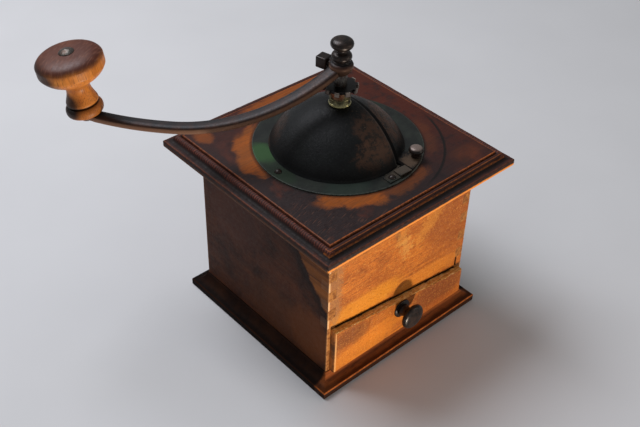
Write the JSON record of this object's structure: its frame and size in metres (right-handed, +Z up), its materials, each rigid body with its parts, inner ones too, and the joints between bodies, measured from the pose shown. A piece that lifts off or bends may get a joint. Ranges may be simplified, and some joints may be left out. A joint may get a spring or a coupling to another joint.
{
  "type": "manual coffee grinder",
  "caption": "Old wooden box coffee mill with a moulded top, iron hopper dome with a turning shutter, curved crank with a mushroom knob, and a drawer",
  "frame": {"origin": "middle of the base board's underside, on the spindle axis", "axes": "+Z up along the spindle, -Y out of the drawer front, +X to the right as seen from the drawer"},
  "size_m": [0.2282, 0.1989, 0.2062],
  "materials": {
    "top_wood": "dark red-brown stain worn through to orange-brown on edges and round the flange",
    "base_wood": "dark stain, orange-brown in the cove and on the worn arris",
    "side_wood": "dark brown mottled stain, worn lighter at the front edge",
    "front_wood": "orange-brown waxed grain, scuffed",
    "drawer_wood": "orange-brown waxed grain with a chipped upper edge",
    "inner_wood": "bare planed wood, dusty",
    "knob_wood": "turned wood, dark scratched crown, worn orange sides",
    "hopper_iron": "black japanned sheet iron, rubbed grey with rust patches",
    "flange_iron": "dark green-black paint, chipped",
    "dark_iron": "blackened iron, rubbed bright on edges",
    "arm_steel": "forged bar, brown patina with grey sheen",
    "cast_iron": "rough sand-cast grey iron",
    "bright_steel": "turned steel, dulled",
    "aged_brass": "dull greenish brass"
  },
  "bodies": {
    "case": {"base_board": "base_wood", "left_wall": "side_wood", "right_wall": "side_wood", "back_wall": "side_wood", "front_wall": "front_wood", "top_board": "top_wood", "corner_blocks": "inner_wood", "base_screws": "bright_steel", "drawer_runners": "inner_wood", "mill_housing": "cast_iron", "grind_ring": "bright_steel", "bridge_bar": "cast_iron", "bridge_screws": "bright_steel", "lower_bush": "aged_brass", "hopper_dome": "hopper_iron", "shutter_clip": "flange_iron", "flange_screws": "dark_iron", "spindle_collar": "aged_brass", "collar_nut": "bright_steel"},
    "drawer": {"drawer_front": "drawer_wood", "drawer_left_side": "inner_wood", "drawer_right_side": "inner_wood", "drawer_back": "inner_wood", "drawer_bottom": "inner_wood", "drawer_knob_rose": "dark_iron", "drawer_knob": "dark_iron", "drawer_knob_screw": "bright_steel"},
    "shutter": {"dome_shutter": "hopper_iron", "shutter_knob": "dark_iron"},
    "crank": {"spindle": "bright_steel", "grind_cone": "bright_steel", "drive_pin": "bright_steel", "feed_pin": "bright_steel", "spring_washer": "bright_steel", "spindle_spring": "bright_steel", "crank_arm": "arm_steel", "arm_screw": "dark_iron", "finial_nut": "dark_iron", "knob_pin": "bright_steel"},
    "grip": {"knob_collar": "knob_wood", "crank_knob": "knob_wood"},
    "adjuster": {"adjusting_nut": "dark_iron"}
  },
  "joints": [
    {"name": "drawer_slide", "type": "slide", "parent": "case", "child": "drawer", "axis": [0, -1, 0], "range_m": [0, 0.085]},
    {"name": "shutter_swing", "type": "hinge", "parent": "case", "child": "shutter", "pos_m": [0, 0, 0.16078], "axis": [0, 0, 1], "range_deg": [0, 130]},
    {"name": "crank_spin", "type": "hinge", "parent": "case", "child": "crank", "pos_m": [0, 0, 0.18238], "axis": [0, 0, 1], "continuous": true},
    {"name": "knob_spin", "type": "hinge", "parent": "crank", "child": "grip", "pos_m": [-0.12297, 0.09436, 0.15658], "axis": [-0.1241, 0.0952, 0.9877], "continuous": true},
    {"name": "nut_turn", "type": "hinge", "parent": "crank", "child": "adjuster", "pos_m": [0, 0, 0.17258], "axis": [0, 0, 1], "range_deg": [-180, 180]}
  ]
}
